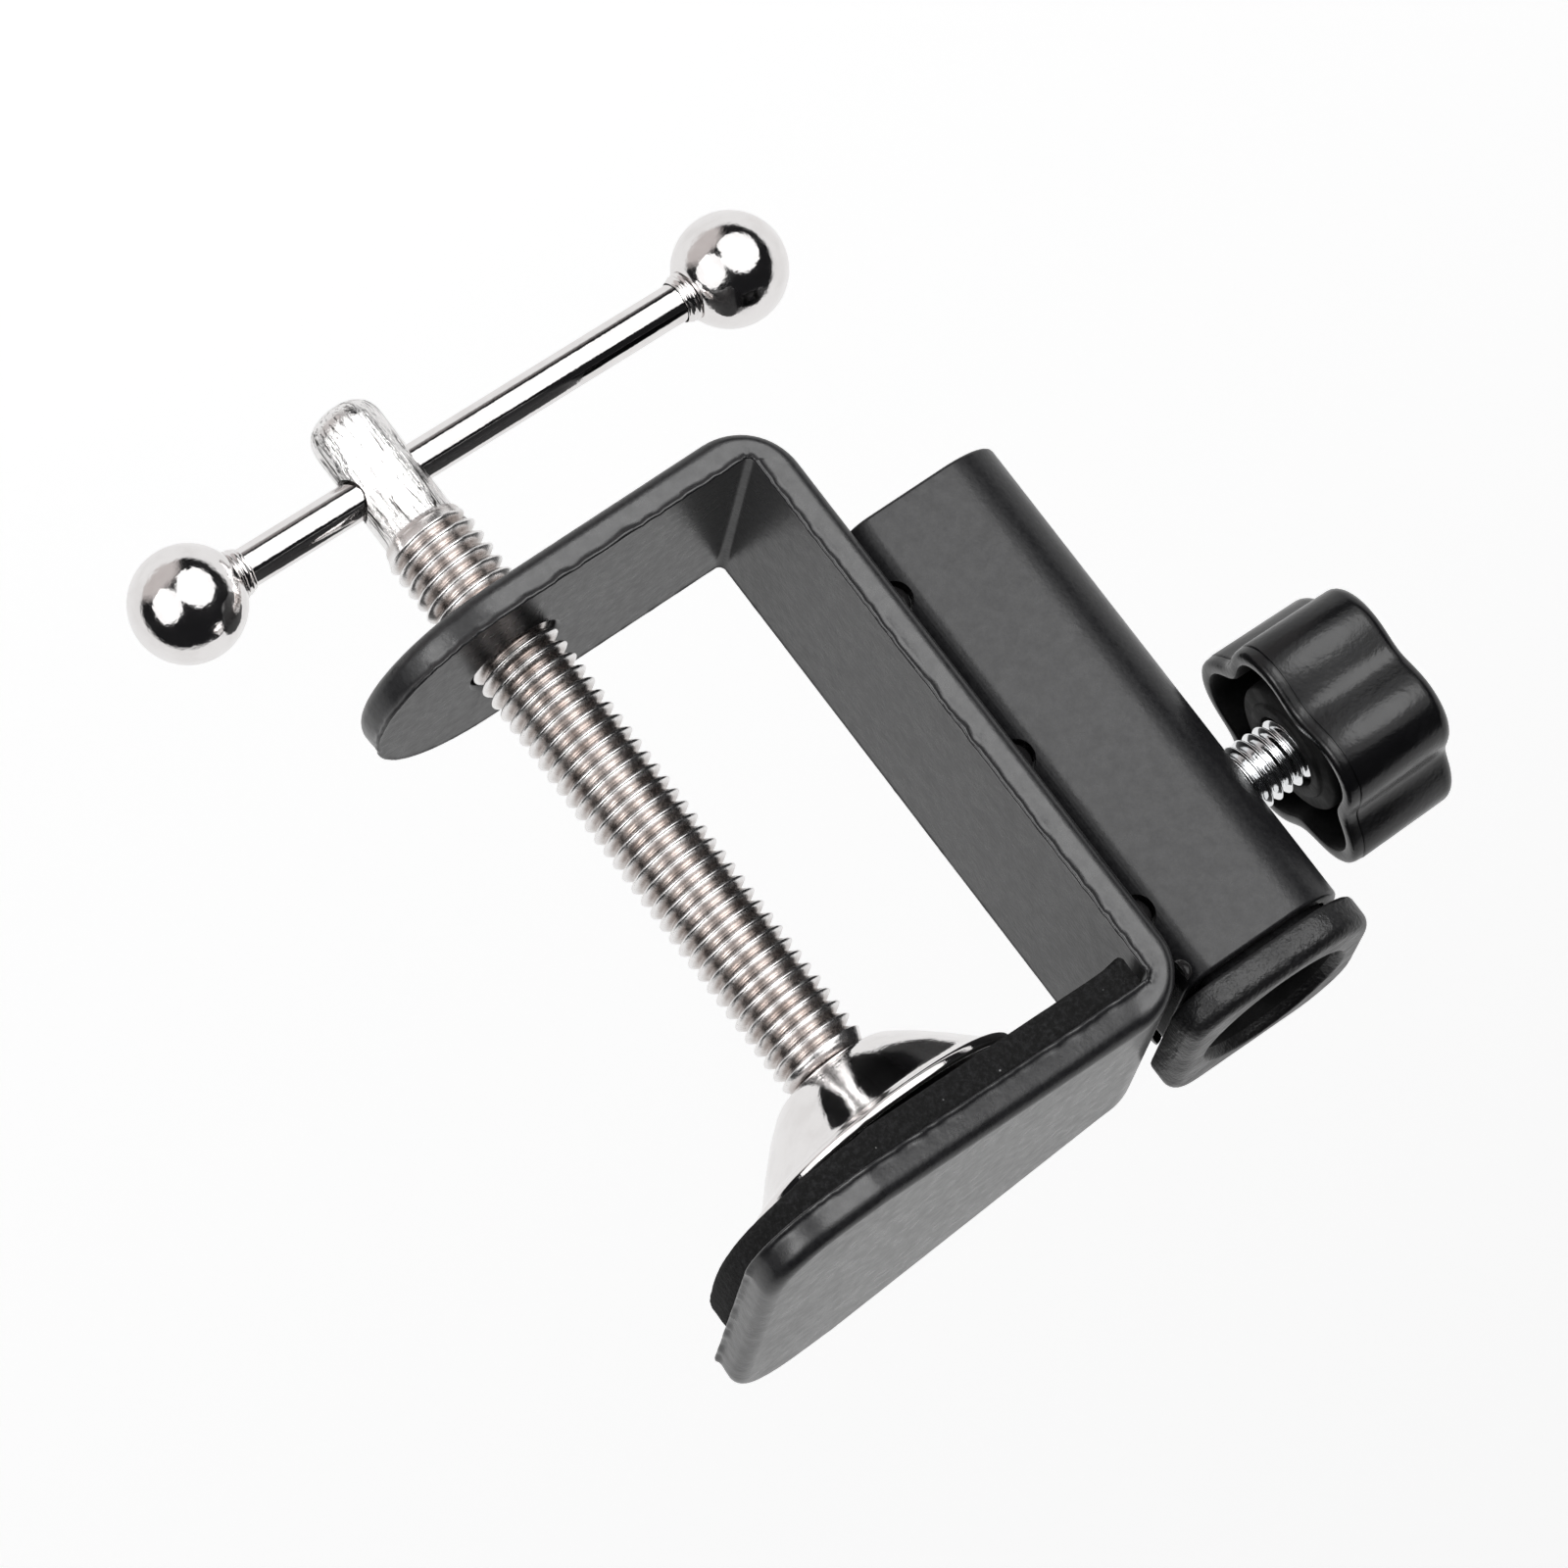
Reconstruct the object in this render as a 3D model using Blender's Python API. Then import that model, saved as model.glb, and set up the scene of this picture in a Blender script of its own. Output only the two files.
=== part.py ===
"""Desk C-clamp with an arm socket: bent strip frame, screw with swivel pad and T-bar, square tube,
lined socket and lobed locking knob. Shown closed on its foam, the T-bar slid to one side.

Axes: the clamping screw runs along +Z through the origin, the jaw is at the top, the back plate and
the socket tube are on +X, and the strip's width runs along Y. The arm's inner face is z = 0.
"""

from math import cos, hypot, pi, radians, sin, sqrt

import bmesh
import bpy
from mathutils import Matrix, Vector

MM = 0.001

# Frame: one steel strip bent into a C, with a wider jaw
STRIP_T = 3.0
ARM_HALF_W = 12.1
ARM_END_X = -13.4
BACK_X = 21.75  # inner face of the back plate
THROAT = 52.2  # arm's inner face to jaw's inner face, at the back plate
BEND_OUT_R = 5.5
BEND_IN_R = 0.7
EDGE_BREAK = 0.35
JAW_TILT = radians(1.5)
JAW_END_X = -18.1
JAW_FLARE = 0.235
JAW_CORNER_R = 6.5
TAP_R = 4.3

# Foam on the jaw
FOAM_T = 2.7
FOAM_GAP = 0.12
FOAM_BACK_X = 20.9
FOAM_END_X = -17.9
FOAM_SIDE = 1.2  # how far it stays inside the jaw's edge
FOAM_CORNER_R = 12.0

# Clamping screw
SCREW_R = 3.9
THREAD_Z = (-11.6, 41.55)
SHANK_R = 3.2
SHANK_END_Z = -24.9
NECK_R = 2.3
NECK_END_Z = 44.6

# T-bar
BAR_Z = -17.7
BAR_R = 1.7
BAR_ANGLE = radians(-4.0)
BAR_SPAN = (-19.2, 34.6)  # ball centres, measured from the screw's axis
BALL_R = 4.83
COLLAR_R = 2.5
COLLAR_L = 1.3
BAR_GAP = 0.3

# Swivel pad
PAD_R = 12.7
PAD_TOP_Z = 49.12
PAD_TILT = radians(1.5)
PAD_SHEET = 0.9

# Socket tube, welded to the back plate
TUBE_X = (25.05, 40.75)
TUBE_HALF_W = 8.0
TUBE_WALL = 1.3
TUBE_Z = (8.35, 53.8)
TUBE_IN_R = 2.6
TUBE_OUT_R = 5.6
WELD_Z = (15.1, 31.1, 46.7)
WELD_R = 1.75

# Plastic liner in the socket
FLANGE_Z = (54.6, 57.6)
FLANGE_X = (22.9, 41.2)
FLANGE_HALF_W = 8.9
FLANGE_IN_R = 3.4
FLANGE_OUT_R = 5.6
LINER_END_Z = 46.5
BORE_X = 32.1
BORE_R = 6.15
MOUTH_R = 6.85

# Locking knob on +X
KNOB_Z = 41.3
KNOB_X = (45.3, 56.1)
KNOB_R = 9.56
LOBE = 0.97
LOBES = 5
LOBE_AT = radians(35.3)
STUD_R = 2.93
STUD_TIP_X = 39.3
STUD_HOLE_R = 3.3

STEEL_BLACK = ((0.018, 0.018, 0.019), 0.42, 0.0)
CHROME = ((0.66, 0.63, 0.62), 0.12, 1.0)
ZINC = ((0.70, 0.71, 0.72), 0.24, 1.0)
FOAM = ((0.012, 0.012, 0.013), 0.95, 0.0)
PLASTIC = ((0.014, 0.014, 0.015), 0.50, 0.0)
PAINT_POOL = ((0.008, 0.008, 0.009), 0.18, 0.0)
NYLON = ((0.72, 0.70, 0.64), 0.45, 0.0)


def clear_scene():
    for obj in list(bpy.data.objects):
        bpy.data.objects.remove(obj, do_unlink=True)


def material(name, look):
    colour, rough, metal = look
    mat = bpy.data.materials.new(name)
    mat.use_nodes = True
    shader = mat.node_tree.nodes["Principled BSDF"]
    shader.inputs["Base Color"].default_value = (*colour, 1.0)
    shader.inputs["Roughness"].default_value = rough
    shader.inputs["Metallic"].default_value = metal
    mat.diffuse_color = (*colour, 1.0)
    return mat


def finish(name, mesh, look, origin=(0, 0, 0), smooth_deg=35):
    """Links the mesh as one object whose origin is the given point in mm."""
    here = Vector(origin) * MM
    mesh.transform(Matrix.Translation(-here))
    obj = bpy.data.objects.new(name, mesh)
    obj.location = here
    bpy.context.scene.collection.objects.link(obj)
    if look:
        mesh.materials.append(material(name + "_material", look))
    mesh.shade_smooth()
    mesh.set_sharp_from_angle(angle=radians(smooth_deg))
    return obj


def loft(name, rings, closed=False):
    """A mesh through equal-length rings of points in mm: capped at both ends, or closed on itself."""
    n = len(rings[0])
    points = [Vector(p) * MM for ring in rings for p in ring]
    count = len(rings)
    faces = []
    for i in range(count if closed else count - 1):
        a, b = i * n, (i + 1) % count * n
        faces += [(a + k, a + (k + 1) % n, b + (k + 1) % n, b + k) for k in range(n)]
    if not closed:
        faces.append(tuple(range(n))[::-1])
        faces.append(tuple((count - 1) * n + k for k in range(n)))
    mesh = bpy.data.meshes.new(name)
    mesh.from_pydata(points, [], faces)
    bm = bmesh.new()
    bm.from_mesh(mesh)
    bmesh.ops.recalc_face_normals(bm, faces=bm.faces)
    if bm.calc_volume(signed=True) < 0:
        bmesh.ops.reverse_faces(bm, faces=bm.faces)
    bm.to_mesh(mesh)
    bm.free()
    return mesh


def circle(radius, along, centre=(0, 0), axis="Z", n=32):
    """One ring of points: a circle round the X, Y or Z axis at a distance along it."""
    ring = []
    for k in range(n):
        a = 2 * pi * k / n
        u, v = centre[0] + radius * cos(a), centre[1] + radius * sin(a)
        ring.append({"X": (along, u, v), "Y": (u, along, v), "Z": (u, v, along)}[axis])
    return ring


def turned(name, profile, centre=(0, 0), axis="Z", n=32, closed=False):
    """A turned piece from (radius, distance along the axis) pairs."""
    return loft(name, [circle(r, h, centre, axis, n) for r, h in profile], closed)


def cutter(name, mesh):
    obj = finish(name, mesh, None)
    obj.hide_render = True
    obj.display_type = "WIRE"
    return obj


def cut(obj, tool):
    mod = obj.modifiers.new("cut_" + tool.name, "BOOLEAN")
    mod.operation = "DIFFERENCE"
    mod.solver = "EXACT"
    mod.object = tool


def join_meshes(name, meshes):
    bm = bmesh.new()
    for mesh in meshes:
        bm.from_mesh(mesh)
    joined = bpy.data.meshes.new(name)
    bm.to_mesh(joined)
    bm.free()
    return joined


def arc(cx, cy, r, start, end, steps):
    """Points on an arc, the angles in degrees."""
    angles = [radians(start + (end - start) * i / steps) for i in range(steps + 1)]
    return [(cx + r * cos(a), cy + r * sin(a)) for a in angles]


# ---------------------------------------------------------------- frame


def jaw_half_width(x, inset=0.0, end_x=JAW_END_X, corner=JAW_CORNER_R):
    """Half the jaw's width at x: it widens towards the free end, which has rounded corners."""
    wide = ARM_HALF_W + JAW_FLARE * max(0.0, min(BACK_X - 3 - x, 26.5)) - inset
    into = end_x + corner - x
    if into > 0:
        wide -= corner - sqrt(max(corner**2 - into**2, 0.0))
    return wide


def strip_stations():
    """(inner point, outer point, half width) along the strip, from the arm's end to the jaw's end."""
    stations = []
    for deg in (4, 14, 26, 38, 50, 62, 74, 84, 90):
        a = radians(deg)
        x = ARM_END_X + ARM_HALF_W - ARM_HALF_W * cos(a)
        stations.append(((x, 0.0), (x, -STRIP_T), ARM_HALF_W * sin(a) + 0.25 * cos(a)))
    back_out = BACK_X + STRIP_T
    out_c = (back_out - BEND_OUT_R, BEND_OUT_R - STRIP_T)
    in_c = (BACK_X - BEND_IN_R, BEND_IN_R)
    outer = arc(*out_c, BEND_OUT_R, -90, 0, 8)
    inner = arc(*in_c, BEND_IN_R, -90, 0, 8)
    stations += [(i, o, ARM_HALF_W) for i, o in zip(inner, outer)]
    top = THROAT + STRIP_T
    turn = 90 - JAW_TILT * 180 / pi
    outer = arc(out_c[0], top - BEND_OUT_R, BEND_OUT_R, 0, turn, 8)
    inner = arc(in_c[0], THROAT - BEND_IN_R, BEND_IN_R, 0, turn, 8)
    stations += [(i, o, jaw_half_width(o[0])) for i, o in zip(inner, outer)]
    (ix, iz), (ox, oz) = inner[-1], outer[-1]
    ends = [12.0, 2.0, -7.7]
    ends += [JAW_END_X + JAW_CORNER_R * (1 - sin(radians(a))) for a in (0, 18, 34, 48, 60, 70, 78, 84)]
    for x in ends:
        wide = jaw_half_width(x)
        rise = sin(JAW_TILT) / cos(JAW_TILT)
        stations.append(((x, iz + (ix - x) * rise), (x, oz + (ox - x) * rise), wide))
    return stations


def c_frame():
    """The bent strip. Each section is a rectangle with broken edges."""
    rings = []
    for (ix, iz), (ox, oz), half in strip_stations():
        length = hypot(ox - ix, oz - iz)
        ux, uz = (ox - ix) / length * EDGE_BREAK, (oz - iz) / length * EDGE_BREAK
        e = min(EDGE_BREAK, half * 0.4)
        rings.append([
            (ix, -half + e, iz), (ix + ux, -half, iz + uz), (ox - ux, -half, oz - uz), (ox, -half + e, oz),
            (ox, half - e, oz), (ox - ux, half, oz - uz), (ix + ux, half, iz + uz), (ix, half - e, iz),
        ])
    obj = finish("c_frame", loft("c_frame", rings), STEEL_BLACK)
    hole = turned("tapped_hole_cutter", [(TAP_R, -STRIP_T - 3), (TAP_R, 3)], n=48)
    cut(obj, cutter("tapped_hole_cutter", hole))


def foam_outline():
    """Points round the foam in plan, near side first."""
    points = [(FOAM_BACK_X, ARM_HALF_W - 0.3)]
    points += [(x, jaw_half_width(x, FOAM_SIDE)) for x in (14.0, 6.0, -2.0)]
    half = jaw_half_width(-5.0, FOAM_SIDE + 0.8)
    for deg in range(0, 91, 10):
        a = radians(deg)
        points.append((-5.5 - (abs(FOAM_END_X) - 5.5) * sin(a), half * cos(a) ** 0.72 if deg < 90 else 0.0))
    return points + [(x, -y) for x, y in points[-2::-1]]


def jaw_foam_pad():
    """Closed-cell foam glued under the jaw, with softly rounded lower edges."""
    rise = sin(JAW_TILT) / cos(JAW_TILT)
    outline = foam_outline()

    def level(depth, inset):
        ring = []
        for x, y in outline:
            away = hypot(x, y) or 1.0
            px, py = x - x / away * inset, y - y / away * inset
            ring.append((px, py, THROAT - FOAM_GAP - depth + (BACK_X - px) * rise))
        return ring

    rings = [level(0, 0.05), level(0.3, 0), level(FOAM_T - 0.5, 0), level(FOAM_T - 0.12, 0.15), level(FOAM_T, 0.5)]
    finish("jaw_foam_pad", loft("jaw_foam_pad", rings), FOAM)


# ---------------------------------------------------------------- screw, T-bar and swivel pad


def clamp_screw():
    """Shank with a domed head and cross hole, threaded length, and the neck the pad turns on."""
    profile = [(0.4, SHANK_END_Z)]
    profile += [(r, z) for r, z in ((1.6, -24.8), (2.45, -24.4), (2.95, -23.8), (SHANK_R, -22.8))]
    profile += [(SHANK_R, THREAD_Z[0] - 0.9), (3.55, THREAD_Z[0] - 0.4), (SCREW_R, THREAD_Z[0])]
    profile += [(SCREW_R, THREAD_Z[1] - 0.8), (3.2, THREAD_Z[1]), (NECK_R, THREAD_Z[1] + 0.05)]
    profile += [(NECK_R, NECK_END_Z - 0.4), (NECK_R - 0.4, NECK_END_Z)]
    obj = finish("clamp_screw", turned("clamp_screw", profile, n=32), CHROME)
    hole = turned("cross_hole_cutter", [(BAR_R + BAR_GAP, -9), (BAR_R + BAR_GAP, 9)], axis="X", n=24)
    hole.transform(Matrix.Rotation(BAR_ANGLE, 4, "Z"))
    hole.transform(Matrix.Translation((0, 0, BAR_Z * MM)))
    cut(obj, cutter("cross_hole_cutter", hole))


def pad_retainer():
    """Push-on ring that keeps the pad on the screw's neck."""
    r = NECK_R + 0.3
    profile = [(r, 43.75), (r + 1.6, 43.75), (r + 1.75, 43.95), (r + 1.6, 44.3), (r, 44.3)]
    finish("pad_retainer", turned("pad_retainer", profile, n=28, closed=True), ZINC)


def swivel_pad():
    """Dished steel pad: flat top round the neck, flared skirt and thin rim against the foam."""
    top = PAD_TOP_Z
    z0 = 41.9
    outer = [(2.7, z0), (4.3, z0 + 0.02), (5.3, z0 + 0.3), (7.2, z0 + 1.75), (9.3, z0 + 3.75), (10.9, z0 + 5.45)]
    outer += [(11.5, z0 + 5.95), (12.2, z0 + 6.2), (PAD_R, z0 + 6.45), (PAD_R, top)]
    inner = [(PAD_R - 0.7, top), (12.0, top - 0.3), (11.2, top - 0.55), (10.4, top - 0.95), (8.5, z0 + 4.55)]
    inner += [(6.5, z0 + 2.6), (4.9, z0 + 1.2), (4.2, z0 + PAD_SHEET), (2.7, z0 + PAD_SHEET)]
    mesh = turned("swivel_pad", outer + inner, n=48, closed=True)
    pivot = Matrix.Translation((0, 0, (z0 + 0.4) * MM))
    mesh.transform(pivot @ Matrix.Rotation(PAD_TILT, 4, "Y") @ pivot.inverted())
    finish("swivel_pad", mesh, CHROME)


def t_bar():
    """Sliding bar, and at each end a collar and a drilled ball, all on one tilted line through the screw."""
    turn = Matrix.Translation((0, 0, BAR_Z * MM)) @ Matrix.Rotation(BAR_ANGLE, 4, "Z")
    low, high = BAR_SPAN
    ends = [(BAR_R - 0.3, low - 1.5), (BAR_R, low - 1.2), (BAR_R, high + 1.2), (BAR_R - 0.3, high + 1.5)]
    pieces = {"t_bar_rod": turned("t_bar_rod", ends, axis="X", n=20)}
    bore = BAR_R + BAR_GAP
    for side, centre, way in (("left", low, -1), ("right", high, 1)):
        mouth = sqrt(BALL_R**2 - (bore + 0.15) ** 2)
        rings = [(BALL_R * sin(a), way * BALL_R * cos(a)) for a in [radians(4 + 166 * i / 15) for i in range(15)]]
        rings = [(r, h) for r, h in rings if -way * h < mouth - 0.3]
        rings += [(bore + 0.15, -way * mouth), (bore, -way * (mouth - 0.2)), (bore, way * 1.9), (0.3, way * 2.1)]
        name = f"t_bar_ball_{side}"
        pieces[name] = turned(name, [(r, centre + h) for r, h in rings], axis="X", n=32)
        start = centre - way * (mouth + 0.3)
        spots = [(bore, 0), (COLLAR_R - 0.3, 0), (COLLAR_R, 0.3), (COLLAR_R, COLLAR_L - 0.4),
                 (COLLAR_R - 0.35, COLLAR_L), (bore, COLLAR_L)]
        name = f"t_bar_collar_{side}"
        pieces[name] = turned(name, [(r, start - way * h) for r, h in spots], axis="X", n=24, closed=True)
    for name, mesh in pieces.items():
        mesh.transform(turn)
        finish(name, mesh, CHROME, origin=(0, 0, BAR_Z))


# ---------------------------------------------------------------- socket


def square_ring(z, grow, across, half_w, in_r, out_r, n_arc=6):
    """A square outline whose two corners away from the frame have a larger radius than the other two."""
    x0, x1, h = across[0] - grow, across[1] + grow, half_w + grow
    r0, r1 = max(in_r + grow, 0.6), max(out_r + grow, 0.6)
    points = arc(x1 - r1, h - r1, r1, 0, 90, n_arc)
    points += arc(x0 + r0, h - r0, r0, 90, 180, n_arc)
    points += arc(x0 + r0, -h + r0, r0, 180, 270, n_arc)
    points += arc(x1 - r1, -h + r1, r1, 270, 360, n_arc)
    return [(x, y, z) for x, y in points]


def tube_ring(z, grow=0.0):
    return square_ring(z, grow, TUBE_X, TUBE_HALF_W, TUBE_IN_R, TUBE_OUT_R)


def flange_ring(z, grow=0.0):
    return square_ring(z, grow, FLANGE_X, FLANGE_HALF_W, FLANGE_IN_R, FLANGE_OUT_R)


def arm_tube():
    """Square steel tube with three half-round weld notches on each side and a hole for the knob's stud."""
    z0, z1 = TUBE_Z
    rings = [tube_ring(z0, -0.25), tube_ring(z0 + 0.25), tube_ring(z1 - 0.25), tube_ring(z1, -0.25)]
    rings += [tube_ring(z1, -TUBE_WALL), tube_ring(z0, -TUBE_WALL)]
    obj = finish("arm_tube", loft("arm_tube", rings, closed=True), STEEL_BLACK)
    tools = []
    for z in WELD_Z:
        for y0, y1 in ((-9.5, -6.2), (6.2, 9.5)):
            tools.append(turned("notch", [(WELD_R, y0), (WELD_R, y1)], (TUBE_X[0], z), "Y", 24))
    cut(obj, cutter("weld_notch_cutter", join_meshes("weld_notch_cutter", tools)))
    hole = turned("stud_hole_cutter", [(STUD_HOLE_R, 37.5), (STUD_HOLE_R, 43)], (0, KNOB_Z), "X", 32)
    cut(obj, cutter("stud_hole_cutter", hole))


def weld_beads():
    """Weld metal pooled in the half-round notches, and a tack beside the socket's mouth, on each side."""
    for side, way in (("near", 1), ("far", -1)):
        for i, z in enumerate((*WELD_Z, TUBE_Z[1] - 1.3), 1):
            notch = i <= len(WELD_Z)
            r, y, tall = (WELD_R - 0.3, 6.5, 1.25) if notch else (0.95, 8.3, 0.5)
            profile = [(r, 0.0), (r, tall * 0.4), (r * 0.86, tall * 0.75), (r * 0.5, tall), (r * 0.1, tall * 1.05)]
            name = f"weld_bead_{side}_{i}"
            mesh = turned(name, [(q, way * (y + h)) for q, h in profile], (TUBE_X[0], z), "Y", 20)
            for vert in mesh.vertices:
                vert.co.x = max(vert.co.x, (TUBE_X[0] + 0.02 * (vert.co.x / MM - TUBE_X[0])) * MM)
            finish(name, mesh, PAINT_POOL)


def tube_liner():
    """Plastic socket liner: a square flange over the tube's end, a sleeve inside it and a flared bore."""
    z0, z1 = FLANGE_Z
    inside = -TUBE_WALL - 0.3
    rings = [tube_ring(LINER_END_Z, inside - 0.3), tube_ring(LINER_END_Z + 0.5, inside), tube_ring(z0, inside)]
    for z, grow in ((z0, -0.5), (z0 + 0.15, -0.12), (z0 + 0.5, 0), (z1 - 1.2, 0), (z1 - 0.75, -0.1)):
        rings.append(flange_ring(z, grow))
    rings += [flange_ring(z1 - 0.35, -0.37), flange_ring(z1 - 0.1, -0.72), flange_ring(z1, -1.2)]
    obj = finish("tube_liner", loft("tube_liner", rings), PLASTIC)
    bore = [(BORE_R, LINER_END_Z - 2), (BORE_R, z1 - 2.3), (MOUTH_R - 0.3, z1 - 0.7)]
    bore += [(MOUTH_R, z1 - 0.12), (MOUTH_R + 0.35, z1 + 0.05), (MOUTH_R + 0.35, z1 + 1)]
    cut(obj, cutter("liner_bore_cutter", turned("liner_bore_cutter", bore, (BORE_X, 0), "Z", 40)))


# ---------------------------------------------------------------- knob


def lobed_ring(x, shrink, depth=1.0, n=70):
    ring = []
    for k in range(n):
        a = 2 * pi * k / n
        turn = LOBES * (a - LOBE_AT)
        r = KNOB_R - shrink + LOBE * depth * (cos(turn) - 0.09 * cos(2 * turn))
        ring.append((x, r * cos(a), KNOB_Z + r * sin(a)))
    return ring


def knob_body():
    """Five-lobed knob, hollow towards the tube round a central boss that holds the stud."""
    x0, x1 = KNOB_X
    centre = (0, KNOB_Z)
    n = 70

    def ring(r, x):
        return circle(r, x, centre, "X", n)

    rings = [ring(0.4, x1), ring(5.6, x1 - 0.02), lobed_ring(x1 - 0.12, 1.9, 0.8), lobed_ring(x1 - 0.6, 0.75, 0.95)]
    rings += [lobed_ring(x1 - 1.5, 0.1), lobed_ring(x0 + 1.25, -0.05), lobed_ring(x0 + 0.35, 0.1)]
    rings += [lobed_ring(x0, 0.5), lobed_ring(x0, 1.35), lobed_ring(x0 + 0.4, 1.65), lobed_ring(x1 - 2.6, 1.9)]
    rings += [ring(6.0, x1 - 2.3), ring(5.8, x0 + 1.2), ring(5.6, x0 + 0.8), ring(4.45, x0 + 0.8), ring(4.35, x0 + 0.5)]
    rings += [ring(STUD_R + 0.3, x0 + 0.45), ring(STUD_R + 0.3, x1 - 3.6), ring(0.4, x1 - 3.4)]
    finish("knob_body", loft("knob_body", rings), PLASTIC, origin=(0, 0, KNOB_Z))


def knob_stud():
    x0, x1 = STUD_TIP_X, KNOB_X[1] - 4.0
    profile = [(0.9, x0), (2.0, x0 + 0.02), (STUD_R, x0 + 0.8), (STUD_R, x1 - 0.3), (STUD_R - 0.3, x1)]
    mesh = turned("knob_stud", profile, (0, KNOB_Z), "X", 28)
    finish("knob_stud", mesh, ZINC, origin=(0, 0, KNOB_Z))


def stud_tip():
    """Soft thrust tip that the stud pushes against whatever stands in the socket."""
    x1 = STUD_TIP_X - 0.3
    profile = [(0.5, x1 - 0.9), (1.7, x1 - 0.85), (2.1, x1 - 0.5), (2.1, x1 - 0.15), (1.9, x1)]
    mesh = turned("stud_tip", profile, (0, KNOB_Z), "X", 24)
    finish("stud_tip", mesh, NYLON, origin=(0, 0, KNOB_Z))


def main():
    clear_scene()
    c_frame()
    jaw_foam_pad()
    clamp_screw()
    pad_retainer()
    swivel_pad()
    t_bar()
    arm_tube()
    weld_beads()
    tube_liner()
    knob_body()
    knob_stud()
    stud_tip()


main()
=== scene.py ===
from math import atan2, cos, degrees, hypot, pi, radians, sin, sqrt, tan

import bmesh
import bpy
from mathutils import Matrix, Vector, noise


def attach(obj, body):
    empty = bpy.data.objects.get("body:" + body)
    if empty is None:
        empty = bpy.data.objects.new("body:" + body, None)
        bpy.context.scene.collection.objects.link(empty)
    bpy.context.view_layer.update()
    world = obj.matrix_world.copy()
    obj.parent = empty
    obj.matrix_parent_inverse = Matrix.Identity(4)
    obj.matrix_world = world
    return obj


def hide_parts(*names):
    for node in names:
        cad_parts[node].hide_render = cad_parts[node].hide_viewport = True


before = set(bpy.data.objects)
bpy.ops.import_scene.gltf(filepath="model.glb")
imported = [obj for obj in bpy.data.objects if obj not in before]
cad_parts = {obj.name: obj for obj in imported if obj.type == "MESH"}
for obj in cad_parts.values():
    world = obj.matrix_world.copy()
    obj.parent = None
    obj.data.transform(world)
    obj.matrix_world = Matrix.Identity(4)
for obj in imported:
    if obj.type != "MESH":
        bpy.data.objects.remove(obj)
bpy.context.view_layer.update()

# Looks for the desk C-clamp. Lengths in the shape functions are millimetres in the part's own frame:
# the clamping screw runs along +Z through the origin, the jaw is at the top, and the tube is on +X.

MM = 0.001

# ---------------------------------------------------------------- camera, light and floor

# the picture's two directions, and the direction from the object to the camera
RIGHT = Vector((0.79907, 0.10169, 0.59258))
UP = Vector((0.53472, 0.33045, -0.77774))
TOWARD = Vector((-0.27491, 0.93833, 0.20968))
CAMERA_PLACE = Vector((-0.16941, 0.61639, 0.15852))
LENS_MM, SENSOR_MM = 191.25, 36.0
LIT_CENTRE = Vector((0.012, 0, 0.018))
FLOOR_Z, FLOOR_HALF = -0.072, 6.0


def make_camera():
    """The camera at the photograph's angle, with a long lens and no depth of field."""
    data = bpy.data.cameras.new("camera")
    data.lens = LENS_MM
    data.sensor_width = SENSOR_MM
    data.clip_start, data.clip_end = 0.01, 50.0
    cam = bpy.data.objects.new("camera", data)
    turn = Matrix((RIGHT, UP, TOWARD)).transposed().to_4x4()
    cam.matrix_world = Matrix.Translation(CAMERA_PLACE) @ turn
    bpy.context.scene.collection.objects.link(cam)
    bpy.context.scene.camera = cam


def toward(right, up, off_axis_deg):
    """A direction so many degrees away from the line to the camera's place, to that side of it."""
    side = (RIGHT * right + UP * up).normalized()
    a = radians(off_axis_deg)
    return (side * sin(a) + TOWARD * cos(a)).normalized()


def softbox(name, direction, distance, width, height, radiance, roll_deg):
    """An oval area light in that direction from the object, facing it. Lengths in metres."""
    data = bpy.data.lights.new(name, "AREA")
    data.shape = "ELLIPSE"
    data.size, data.size_y = width, height
    area = pi / 4 * width * height
    data.energy = radiance * pi * area
    obj = bpy.data.objects.new(name, data)
    z = direction.normalized()
    x = (RIGHT - z * RIGHT.dot(z)).normalized()
    turn = Matrix((x, z.cross(x), z)).transposed().to_4x4()
    place = Matrix.Translation(LIT_CENTRE + z * distance)
    obj.matrix_world = place @ turn @ Matrix.Rotation(radians(roll_deg), 4, "Z")
    obj.visible_camera = False
    bpy.context.scene.collection.objects.link(obj)


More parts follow.
